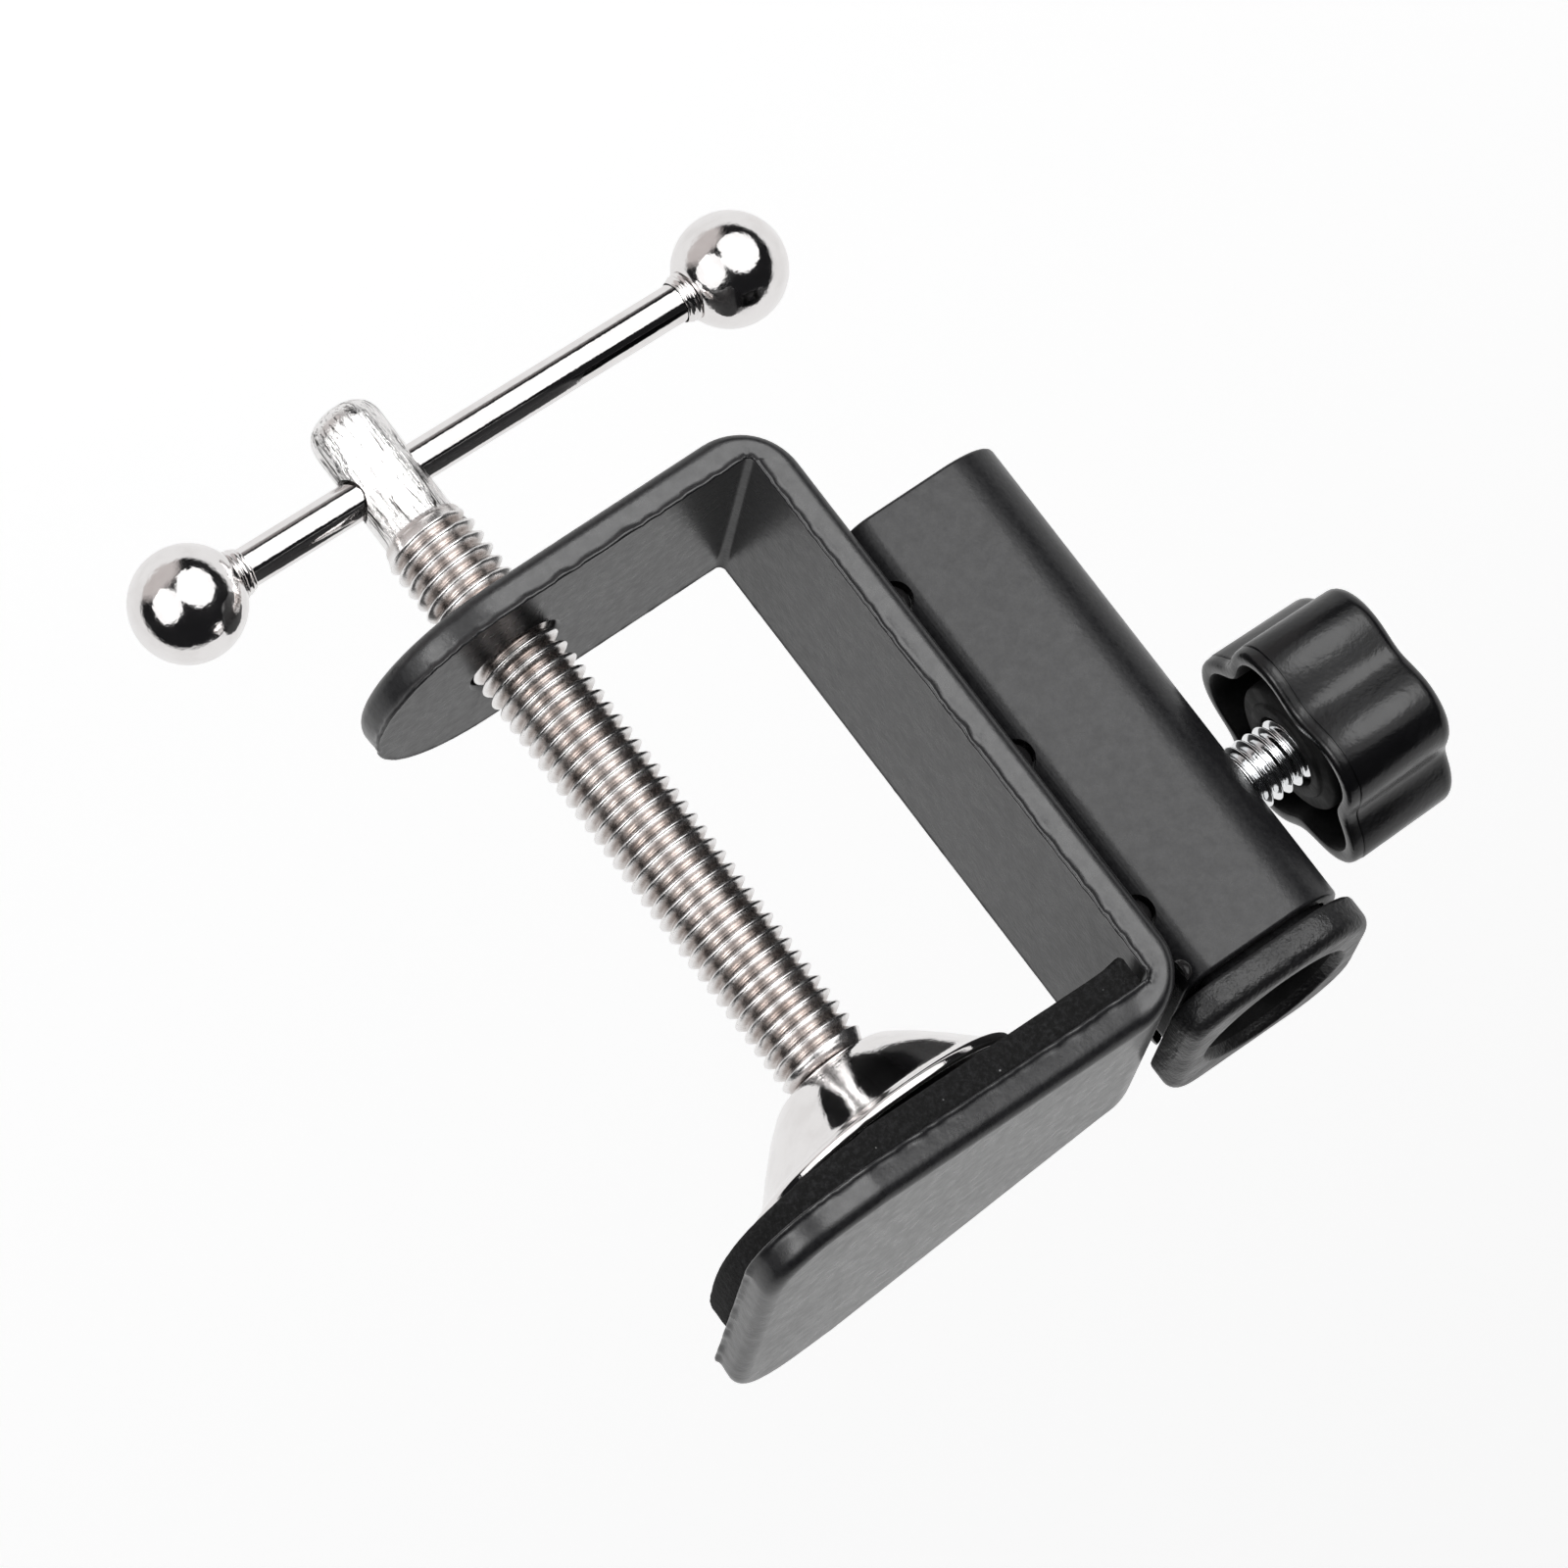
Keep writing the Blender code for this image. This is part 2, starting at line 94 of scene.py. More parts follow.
class Nodes:
    """Short calls for building one node tree."""

    def __init__(self, tree):
        self.tree = tree

    def add(self, kind, **settings):
        node = self.tree.nodes.new("ShaderNode" + kind)
        for key, value in settings.items():
            setattr(node, key, value)
        return node

    def put(self, socket, value):
        if isinstance(value, bpy.types.NodeSocket):
            self.tree.links.new(value, socket)
        else:
            socket.default_value = value

    def math(self, operation, *values):
        node = self.add("Math", operation=operation)
        for socket, value in zip(node.inputs, values):
            self.put(socket, value)
        return node.outputs[0]

    def span(self, value, low, high, to_low=0.0, to_high=1.0):
        """The value's run from low to high, smoothly turned into a run from to_low to to_high."""
        node = self.add("MapRange", interpolation_type="SMOOTHSTEP")
        for socket, item in zip(node.inputs, (value, low, high, to_low, to_high)):
            self.put(socket, item)
        return node.outputs[0]

    def mix(self, factor, first, second):
        node = self.add("Mix", data_type="RGBA")
        self.put(node.inputs[0], factor)
        for socket, colour in ((node.inputs[6], first), (node.inputs[7], second)):
            self.put(socket, (*colour, 1.0) if isinstance(colour, tuple) else colour)
        return node.outputs[2]

    def place(self, scale=(1, 1, 1), turn=(0, 0, 0)):
        """The piece's own coordinates in metres, scaled and turned."""
        node = self.add("Mapping")
        self.put(node.inputs["Vector"], self.add("TexCoord").outputs["Object"])
        node.inputs["Scale"].default_value = scale
        node.inputs["Rotation"].default_value = turn
        return node.outputs[0]

    def noise(self, vector, scale, detail=2.0, rough=0.5, distortion=0.0):
        node = self.add("TexNoise")
        self.put(node.inputs["Vector"], vector)
        for name, value in (("Scale", scale), ("Detail", detail), ("Roughness", rough)):
            node.inputs[name].default_value = value
        node.inputs["Distortion"].default_value = distortion
        return node.outputs[0]

    def cells(self, vector, scale):
        node = self.add("TexVoronoi")
        self.put(node.inputs["Vector"], vector)
        node.inputs["Scale"].default_value = scale
        return node.outputs["Distance"]

    def bump(self, height, distance, strength=1.0, after=None):
        node = self.add("Bump")
        node.inputs["Strength"].default_value = strength
        node.inputs["Distance"].default_value = distance
        self.put(node.inputs["Height"], height)
        if after:
            self.put(node.inputs["Normal"], after)
        return node.outputs[0]


def make_world():
    """White below and behind the object, a dark room round the camera's side, one pale wall."""
    world = bpy.data.worlds.new("studio")
    world.use_nodes = True
    bpy.context.scene.world = world
    world.node_tree.nodes.clear()
    n = Nodes(world.node_tree)
    direction = n.add("TexCoord").outputs["Generated"]

    def along(vector):
        node = n.add("VectorMath", operation="DOT_PRODUCT")
        n.put(node.inputs[0], direction)
        node.inputs[1].default_value = vector
        return node.outputs["Value"]

    table = n.span(along(TOWARD), 0.02, -0.16)
    wall = n.span(along(toward(-0.75, 0.66, 84)), 0.72, 0.90)
    room = n.mix(wall, (0.012, 0.012, 0.013), (0.60, 0.56, 0.55))
    seen = n.mix(table, room, (0.90, 0.90, 0.90))
    background = n.add("Background")
    plain = n.add("Background")
    n.put(background.inputs[0], seen)
    background.inputs[1].default_value = 1.0
    plain.inputs[0].default_value = (1, 1, 1, 1)
    plain.inputs[1].default_value = 1.0
    chosen = n.add("MixShader")
    n.put(chosen.inputs[0], n.add("LightPath").outputs["Is Camera Ray"])
    n.put(chosen.inputs[1], background.outputs[0])
    n.put(chosen.inputs[2], plain.outputs[0])
    n.put(n.add("OutputWorld").inputs[0], chosen.outputs[0])


def make_floor():
    """A pale floor below the lowest place that the screw reaches. It keeps no light from the object."""
    bm = bmesh.new()
    bmesh.ops.create_grid(bm, x_segments=1, y_segments=1, size=FLOOR_HALF)
    mesh = bpy.data.meshes.new("floor")
    bm.to_mesh(mesh)
    bm.free()
    floor = bpy.data.objects.new("floor", mesh)
    floor.location = (0, 0, FLOOR_Z)
    bpy.context.scene.collection.objects.link(floor)
    mat = bpy.data.materials.new("floor_white")
    mat.use_nodes = True
    shader = mat.node_tree.nodes["Principled BSDF"]
    shader.inputs["Base Color"].default_value = (0.86, 0.86, 0.86, 1)
    shader.inputs["Roughness"].default_value = 0.9
    shader.inputs["Emission Color"].default_value = (1, 1, 1, 1)
    shader.inputs["Emission Strength"].default_value = 0.62
    mesh.materials.append(mat)
    floor.visible_glossy = floor.visible_diffuse = floor.visible_shadow = False


# ---------------------------------------------------------------- materials


def surface(name, colour, rough, normal, metallic=0.0, specular=None):
    """A Principled material. colour and normal are functions of the node helper; rough may be a value."""
    mat = bpy.data.materials.new(name)
    mat.use_nodes = True
    shader = mat.node_tree.nodes["Principled BSDF"]
    n = Nodes(mat.node_tree)
    n.put(shader.inputs["Base Color"], colour(n))
    n.put(shader.inputs["Roughness"], rough(n) if callable(rough) else rough)
    shader.inputs["Metallic"].default_value = metallic
    if specular is not None:
        shader.inputs["Specular IOR Level"].default_value = specular
    n.put(shader.inputs["Normal"], normal(n))
    return mat


def powder_coat(name, specular):
    """Satin black powder coat with a faint orange peel and a few specks of dust."""

    def colour(n):
        at = n.place()
        speck = n.span(n.noise(at, 2600, 3, 0.6), 0.35, 0.65)
        base = n.mix(speck, (0.009, 0.009, 0.010), (0.015, 0.015, 0.016))
        dust = n.span(n.cells(at, 700), 0.07, 0.03)
        few = n.span(n.noise(at, 330, 2), 0.66, 0.70)
        return n.mix(n.math("MULTIPLY", dust, few), base, (0.10, 0.10, 0.10))

    def rough(n):
        broad = n.span(n.noise(n.place(), 55, 3, 0.5), 0.3, 0.7, 0.0, 0.03)
        return n.math("ADD", broad, n.span(n.noise(n.place(), 900, 4, 0.6), 0.3, 0.7, 0.25, 0.32))

    def normal(n):
        at = n.place()
        peel = n.bump(n.noise(at, 2300, 3, 0.6), 0.00004, 0.5)
        return n.bump(n.noise(at, 520, 2), 0.00006, 0.2, peel)

    return surface(name, colour, rough, normal, specular=specular)


def weld_paint():
    """The same paint where it pooled over the weld metal and set glossy."""
    return surface(
        "coated_weld",
        lambda n: n.mix(n.noise(n.place(), 900, 3), (0.007, 0.007, 0.008), (0.016, 0.015, 0.015)),
        lambda n: n.span(n.noise(n.place(), 1200, 3), 0.3, 0.7, 0.10, 0.24),
        lambda n: n.bump(n.noise(n.place(), 1600, 2), 0.00015, 0.5),
    )


def plated(name, bright, shade, rough_low, rough_high, wave):
    """Bright plate with a slow orange-peel wave and a fine grain."""

    def colour(n):
        cloud = n.span(n.noise(n.place(), 420, 4, 0.6), 0.35, 0.75)
        return n.mix(n.math("MULTIPLY", cloud, 0.35), bright, shade)

    def rough(n):
        return n.span(n.noise(n.place(), 700, 5, 0.65), 0.3, 0.75, rough_low, rough_high)

    def normal(n):
        at = n.place()
        out = n.bump(n.noise(at, 620, 3, 0.5), 0.0002, wave)
        return n.bump(n.noise(at, 3200, 2, 0.6), 0.00002, 0.3, out)

    return surface(name, colour, rough, normal, metallic=1.0)


def screw_plate():
    """Bright plate, drawn and glossy on the shank, softer in the thread, with painted brown shade down in
    its valleys.
    """

    def places(n):
        """Masks, in metres of the piece: below the thread's first turn, and down in its valley, where the
        shade is painted.
        """
        split = n.add("SeparateXYZ")
        n.put(split.inputs[0], n.add("TexCoord").outputs["Object"])
        threaded = n.span(split.outputs[2], -0.0131, -0.0124)
        squares = [n.math("MULTIPLY", split.outputs[k], split.outputs[k]) for k in (0, 1)]
        radius = n.math("SQRT", n.math("ADD", *squares))
        return threaded, n.math("MULTIPLY", n.span(radius, 0.00382, 0.00325), threaded)

    def drawn_lines(n):
        """Long thin lines along the shank, and the mask of the shank itself."""
        lines = n.noise(n.place((1.0, 1.0, 0.14), (0.1, 0.14, 0)), 1250, 4, 0.7, 1.3)
        return lines, n.math("SUBTRACT", 1.0, places(n)[0])

    def colour(n):
        uneven_shade = n.span(n.noise(n.place(), 500, 4, 0.65), 0.35, 0.7)
        # painted shade: the thread's valleys are darkened and browned, more in some patches than others
        valley_shade = n.math("MULTIPLY", places(n)[1], n.math("MULTIPLY_ADD", uneven_shade, 0.3, 0.7))
        lines, shank = drawn_lines(n)
        few = n.span(n.noise(n.place((1.0, 1.0, 0.4)), 420, 2), 0.36, 0.52)
        dark = n.math("MULTIPLY", n.span(lines, 0.53, 0.62), n.math("MULTIPLY", shank, few))
        bright = n.mix(dark, (0.88, 0.865, 0.86), (0.07, 0.066, 0.064))
        return n.mix(valley_shade, bright, (0.47, 0.42, 0.395))

    def rough(n):
        smears = n.noise(n.place(), 1500, 4, 0.65)
        shank = n.span(smears, 0.3, 0.75, 0.05, 0.12)
        thread = n.span(smears, 0.3, 0.75, 0.20, 0.31)
        threaded = places(n)[0]
        other = n.math("MULTIPLY", shank, n.math("SUBTRACT", 1.0, threaded))
        return n.math("MULTIPLY_ADD", thread, threaded, other)

    def normal(n):
        out = n.bump(n.math("MULTIPLY", *drawn_lines(n)), 0.00022, 0.65)
        return n.bump(n.noise(n.place(), 2400, 3, 0.65), 0.00003, 0.5, out)

    return surface("plated_screw", colour, rough, normal, metallic=1.0)


def moulded(name, rough_low, rough_high, grain, depth, tint, specular):
    """Black moulded plastic with a spark-eroded grain of that scale and depth."""

    def colour(n):
        dusty = n.span(n.noise(n.place(), 900, 5, 0.7), 0.5, 0.8)
        return n.mix(dusty, tint, tuple(c * 1.9 for c in tint))

    def normal(n):
        at = n.place()
        fine = n.bump(n.noise(at, grain, 2, 0.6), depth, 0.7)
        return n.bump(n.noise(at, grain * 0.4, 2, 0.5), depth, 0.5, fine)

    def rough(n):
        return n.span(n.noise(n.place(), 400, 4), 0.3, 0.7, rough_low, rough_high)

    return surface(name, colour, rough, normal, specular=specular)


def plastic_with_painted_shade():
    """The same plastic, darker and less glossy: painted shade for the liner's bore and the knob's hollow."""

    def colour(n):
        dusty = n.span(n.noise(n.place(), 1300, 4, 0.7), 0.45, 0.8)
        return n.mix(dusty, (0.004, 0.004, 0.004), (0.011, 0.011, 0.012))

    return surface(
        "moulded_painted_shade",
        colour,
        lambda n: n.span(n.noise(n.place(), 500, 3), 0.3, 0.7, 0.55, 0.70),
        lambda n: n.bump(n.noise(n.place(), 2200, 2, 0.6), 0.00006, 0.6),
        specular=0.22,
    )


def foam_material():
    """Closed-cell black foam, with pale dust in a few of its cut cells."""

    def colour(n):
        at = n.place()
        speckle = n.span(n.noise(at, 2600, 4, 0.75), 0.42, 0.72)
        base = n.mix(speckle, (0.004, 0.004, 0.004), (0.018, 0.018, 0.019))
        dots = n.span(n.cells(at, 1300), 0.16, 0.08)
        few = n.span(n.noise(at, 1500, 2), 0.62, 0.68)
        return n.mix(n.math("MULTIPLY", dots, few), base, (0.30, 0.30, 0.30))

    def normal(n):
        at = n.place()
        skin = n.bump(n.noise(at, 2200, 4, 0.8), 0.00025, 0.8)
        return n.bump(n.cells(at, 1500), 0.00020, 0.5, skin)

    return surface("foam", colour, 0.93, normal, specular=0.25)


def nylon_material():
    """Off-white nylon of the stud's hidden tip."""
    return surface(
        "nylon",
        lambda n: n.mix(n.noise(n.place(), 500, 3), (0.66, 0.63, 0.56), (0.78, 0.76, 0.70)),
        lambda n: n.span(n.noise(n.place(), 900, 3), 0.3, 0.7, 0.38, 0.52),
        lambda n: n.bump(n.noise(n.place(), 2000, 2), 0.00004, 0.4),
    )


# ---------------------------------------------------------------- mesh helpers


def mesh_of(name, points, faces, turn=None):
    """A mesh from points in millimetres, with every face out, then turned by a matrix in metres."""
    mesh = bpy.data.meshes.new(name)
    mesh.from_pydata([Vector(p) * MM for p in points], [], faces)
    bm = bmesh.new()
    bm.from_mesh(mesh)
    bmesh.ops.recalc_face_normals(bm, faces=bm.faces)
    if bm.calc_volume(signed=True) < 0:
        bmesh.ops.reverse_faces(bm, faces=bm.faces)
    bm.to_mesh(mesh)
    bm.free()
    if turn:
        mesh.transform(turn)
    return mesh


def loft(name, rings, closed=False, turn=None):
    """A mesh through equal-length rings: capped at both ends, or closed on itself."""
    n, count = len(rings[0]), len(rings)
    faces = []
    for i in range(count if closed else count - 1):
        a, b = i * n, (i + 1) % count * n
        faces += [(a + k, a + (k + 1) % n, b + (k + 1) % n, b + k) for k in range(n)]
    if not closed:
        faces += [tuple(range(n))[::-1], tuple((count - 1) * n + k for k in range(n))]
    return mesh_of(name, [p for ring in rings for p in ring], faces, turn)


def circle(radius, along, n=96):
    return [(radius * cos(2 * pi * k / n), radius * sin(2 * pi * k / n), along) for k in range(n)]


def lathe(name, profile, n=96, closed=False, turn=None):
    """A turned piece about Z, from (radius, z) pairs."""
    return loft(name, [circle(r, z, n) for r, z in profile], closed, turn)


def rounded(profile, radius, steps=4):
    """The (r, z) profile with each inner corner rounded by up to that radius."""
    out = [profile[0]]
    for before, here, after in zip(profile, profile[1:], profile[2:]):
        p, a, b = Vector(here), Vector(before) - Vector(here), Vector(after) - Vector(here)
        r = min(radius, a.length * 0.45, b.length * 0.45)
        if a.length < 1e-6 or b.length < 1e-6 or a.angle(b, pi) > radians(172):
            out.append(here)
            continue
        start, end = p + a.normalized() * r, p + b.normalized() * r
        for i in range(steps + 1):
            t = i / steps
            out.append(tuple(start * (1 - t) ** 2 + p * 2 * t * (1 - t) + end * t**2))
    return out + [profile[-1]]


def arc(cx, cy, r, start, end, steps):
    """Points round a circle, from one angle to the other in degrees."""
    angles = [radians(start + (end - start) * i / steps) for i in range(steps + 1)]
    return [(cx + r * cos(a), cy + r * sin(a)) for a in angles]


def add_piece(name, mesh, mat, body, nodes, smooth_deg=40, weighted=False):
    """One visible piece that rides on a body and stands for those nodes."""
    obj = bpy.data.objects.new(name, mesh)
    bpy.context.scene.collection.objects.link(obj)
    mesh.materials.clear()
    mesh.materials.append(mat)
    mesh.shade_smooth()
    mesh.set_sharp_from_angle(angle=radians(smooth_deg))
    if weighted:
        mod = obj.modifiers.new("even_shading", "WEIGHTED_NORMAL")
        mod.keep_sharp = True
    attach(obj, body)
    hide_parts(*nodes)
    return obj


def paint_shade_on(obj, mat, where):
    """Give the faces whose centres pass the test, in metres, a second material: a darker copy that paints
    shade there.
    """
    obj.data.materials.append(mat)
    for face in obj.data.polygons:
        if where(face.center):
            face.material_index = 1


def cut(mesh, tools):
    """The mesh with each closed tool mesh taken away from it."""
    obj = bpy.data.objects.new("work", mesh)
    bpy.context.scene.collection.objects.link(obj)
    helpers = []
    for tool in tools:
        helper = bpy.data.objects.new("tool", tool)
        bpy.context.scene.collection.objects.link(helper)
        mod = obj.modifiers.new("cut", "BOOLEAN")
        mod.operation, mod.solver, mod.object = "DIFFERENCE", "EXACT", helper
        helpers.append(helper)
    result = bpy.data.meshes.new_from_object(obj.evaluated_get(bpy.context.evaluated_depsgraph_get()))
    for item in [obj, *helpers]:
        bpy.data.objects.remove(item)
    return result


def tool_cylinder(radius, start, end):
    """A closed cylinder between two points."""
    a, b = Vector(start), Vector(end)
    turn = Matrix.Translation(a * MM) @ (b - a).to_track_quat("Z", "Y").to_matrix().to_4x4()
    return lathe("tool", [(radius, 0), (radius, (b - a).length)], 96, turn=turn)


# ---------------------------------------------------------------- the bent frame

STRIP_T = 3.0
ARM_HALF_W = 12.1
ARM_END_X = -13.4
BACK_X = 21.75  # the back's inner face
THROAT = 52.2  # from the arm's inner face to the jaw's, at the back
BEND_OUT_R, BEND_IN_R = 5.5, 0.7
EDGE_R = 1.15  # the soft radius round the strip's outer face
JAW_TILT = radians(1.5)
JAW_START_X, JAW_END_X = 12.0, -18.1
JAW_FLARE, JAW_FLARE_LONG = 0.235, 26.5  # widening per millimetre, and the length that widens
JAW_CORNER_R = 6.5
BEND_STEPS = 16
BACK_OUT = BACK_X + STRIP_T
TOP = THROAT + STRIP_T


def strip_line():
    """(inner point, outer point) pairs along the strip, from the arm's end to the jaw's end."""
    out_c = BACK_OUT - BEND_OUT_R
    in_c = BACK_X - BEND_IN_R
    pairs = [((x, 0.0), (x, -STRIP_T)) for x in (ARM_END_X, -1.3, 10.0)]
    inner = arc(in_c, BEND_IN_R, BEND_IN_R, -90, 0, BEND_STEPS)
    pairs += list(zip(inner, arc(out_c, BEND_OUT_R - STRIP_T, BEND_OUT_R, -90, 0, BEND_STEPS)))
    turn = 90 - degrees(JAW_TILT)
    inner = arc(in_c, THROAT - BEND_IN_R, BEND_IN_R, 0, turn, BEND_STEPS)
    pairs += list(zip(inner, arc(out_c, TOP - BEND_OUT_R, BEND_OUT_R, 0, turn, BEND_STEPS)))
    (ix, iz), (ox, oz) = pairs[-1]
    for x in (JAW_START_X, 0.0, JAW_END_X):
        pairs.append(((x, iz + (ix - x) * tan(JAW_TILT)), (x, oz + (ox - x) * tan(JAW_TILT))))
    return pairs


def lengths_along(pairs):
    """How far along the strip's middle each pair is."""
    along = [0.0]
    for (a, b), (c, d) in zip(pairs, pairs[1:]):
        along.append(along[-1] + hypot(a[0] + b[0] - c[0] - d[0], a[1] + b[1] - c[1] - d[1]) / 2)
    return along


PAIRS = strip_line()
ALONG = lengths_along(PAIRS)


def on_strip(s, y, depth):
    """The point at that distance along the strip, that far across it and that deep below its inner face."""
    k = 0
    while k < len(ALONG) - 2 and s > ALONG[k + 1]:
        k += 1
    t = (s - ALONG[k]) / (ALONG[k + 1] - ALONG[k])
    (a, b), (c, d) = PAIRS[k], PAIRS[k + 1]
    u = depth / STRIP_T
    ends = [(p[0] + (q[0] - p[0]) * u, p[1] + (q[1] - p[1]) * u) for p, q in ((a, b), (c, d))]
    return (ends[0][0] + (ends[1][0] - ends[0][0]) * t, y, ends[0][1] + (ends[1][1] - ends[0][1]) * t)


def jaw_half_width(x, inset=0.0):
    """Half the jaw's width at x: it widens from just past the bend towards the free end."""
    return ARM_HALF_W + JAW_FLARE * max(0.0, min(BACK_X - STRIP_T - x, JAW_FLARE_LONG)) - inset


def strip_outline():
    """Half of the flat strip's outline, as (along, across), from the arm's tip to the jaw's tip."""
    end = ALONG[-1]
    half = arc(ARM_HALF_W, 0, ARM_HALF_W, 180, 90, 48)
    s = ARM_HALF_W + 0.5
    jaw_at = end - (JAW_START_X - JAW_END_X)
    corner_at = end - JAW_CORNER_R
    bend_at, bend_x = ALONG[-4], PAIRS[-4][1][0]  # where the bend ends
    while s < corner_at - 0.3:
        x = JAW_START_X - (s - jaw_at) if s > jaw_at else BACK_X
        if bend_at < s <= jaw_at:
            x = bend_x + (JAW_START_X - bend_x) * (s - bend_at) / (jaw_at - bend_at)
        half.append((s, jaw_half_width(x)))
        s += 0.5
    wide = jaw_half_width(JAW_END_X + JAW_CORNER_R)
    half += arc(corner_at, wide - JAW_CORNER_R, JAW_CORNER_R, 90, 0, 24)
    y = wide - JAW_CORNER_R - 0.6
    while y > 0.3:
        half.append((end, y))
        y -= 0.6
    return half + [(end, 0.0)]


def rim_rings():
    """(inset, depth, share of the side burr, share of its drop) round the rim: a small sheared burr at
    the inner face, and a soft radius at the outer one."""
    rings = [(0.42, 0.0, 0.3, 0.0), (0.24, -0.01, 1.0, 0.0), (0.10, -0.05, 1.0, 0.3)]
    rings += [(0.0, -0.02, 1.0, 0.6), (-0.06, 0.07, 1.0, 1.0), (-0.06, 0.19, 1.0, 1.0)]
    rings += [(0.02, 0.32, 1.0, 1.0), (0.09, 0.46, 1.0, 1.0), (0.08, 0.75, 0.1, 0.5)]
    rings += [(0.03, 1.2, 0.1, 0.0), (0.0, STRIP_T - EDGE_R, 0.1, 0.0)]
    for deg in (12, 24, 36, 48, 60, 72, 84, 90):
        a = radians(deg)
        rings.append((EDGE_R * (1 - cos(a)), STRIP_T - EDGE_R * (1 - sin(a)), 0.1, 0.0))
    return rings


def c_frame_mesh():
    """The flat strip with its worn rim, cut at every step of the bends, then bent."""
    half = strip_outline()
    outline = half + [(s, -y) for s, y in half[-2:0:-1]]
    count = len(outline)
    normals = []
    for k in range(count):
        before, after = outline[k - 1], outline[(k + 1) % count]
        d = Vector((after[0] - before[0], after[1] - before[1])).normalized()
        normals.append((-d.y, d.x))  # outwards, as the outline runs clockwise
    rim = rim_rings()
    points = []
    for inset, depth, burr_share, drop_share in rim:
        for (s, y), (ns, ny) in zip(outline, normals):
            wave = noise.noise(Vector((s * 0.8, y * 0.8, 4.0 + 3.0 * (depth > 1))))
            fine = noise.noise(Vector((s * 2.6, y * 2.6, 9.0)))
            burr = (0.13 * wave + 0.10 * fine) * burr_share
            drop = (0.09 * wave + 0.09 * fine) * drop_share
            move = inset + 0.03 - burr
            points.append((s - ns * move, y - ny * move, depth + drop))
    faces = []
    for j in range(len(rim) - 1):
        a, b = j * count, (j + 1) * count
        faces += [(a + k, a + (k + 1) % count, b + (k + 1) % count, b + k) for k in range(count)]
    faces += [tuple(range(count))[::-1], tuple((len(rim) - 1) * count + k for k in range(count))]
    bm = bmesh.new()
    verts = [bm.verts.new(p) for p in points]
    for f in faces:
        bm.faces.new([verts[k] for k in f])
    for s in ALONG[1:-1]:
        geometry = list(bm.verts) + list(bm.edges) + list(bm.faces)
        bmesh.ops.bisect_plane(bm, geom=geometry, dist=1e-5, plane_co=(s, 0, 0), plane_no=(1, 0, 0))
    for v in bm.verts:
        v.co = Vector(on_strip(*v.co)) * MM
    bmesh.ops.triangulate(bm, faces=[f for f in bm.faces if len(f.verts) > 4])
    bmesh.ops.recalc_face_normals(bm, faces=bm.faces)
    if bm.calc_volume(signed=True) < 0:
        bmesh.ops.reverse_faces(bm, faces=bm.faces)
    mesh = bpy.data.meshes.new("clamp_frame")
    bm.to_mesh(mesh)
    bm.free()
    screw_hole = lathe("tool", [(4.02, -5.0), (4.02, -0.4), (4.5, 0.05), (4.5, 2.0)])
    return cut(mesh, [screw_hole])


def foam_mesh():
    """The foam under the jaw: a rounded tongue with slightly ragged sides."""
    rise = tan(JAW_TILT)
    half = [(20.9, ARM_HALF_W - 0.3)]
    half += [(x / 2, jaw_half_width(x / 2, 1.2)) for x in range(40, -11, -1)]
    wide = jaw_half_width(-5.0, 2.0)
    for k in range(1, 46):
        a = radians(2 * k)
        half.append((-5.5 - 12.4 * sin(a), wide * max(cos(a), 0.0) ** 0.72))
    half[-1] = (half[-1][0], 0.0)
    outline = half + [(x, -y) for x, y in half[-2::-1]]
    levels = [(0, 0.1), (0.25, 0.02), (0.9, 0), (1.6, 0.03)]  # (depth, inset)
    levels += [(2.25, 0.02), (2.5, 0.12), (2.66, 0.3), (2.7, 0.6)]
    rings = []
    for depth, inset in levels:
        ring = []
        for x, y in outline:
            ragged = noise.noise(Vector((x * 1.5, y * 1.5, depth * 1.3))) * 0.10
            ragged += noise.noise(Vector((x * 5.0, y * 5.0, depth * 4.0))) * 0.05
            away = hypot(x, y)
            k = 1 - (inset + max(ragged, -0.02)) / away
            ring.append((x * k, y * k, THROAT - 0.12 - depth + (BACK_X - x * k) * rise))
        rings.append(ring)
    return loft("foam", rings)


# ---------------------------------------------------------------- threads, screw, pad and T-bar

# (place within one pitch, height from root to crest) of a plated V thread
THREAD = [(0.0, 1.0), (0.05, 0.98), (0.10, 0.90), (0.18, 0.71)]
THREAD += [(0.27, 0.48), (0.36, 0.24), (0.43, 0.07), (0.5, 0.0)]
THREAD += [(1 - f, h) for f, h in THREAD[-2:0:-1]]


THREAD_FADE = 0.6  # turns over which the thread grows at either end


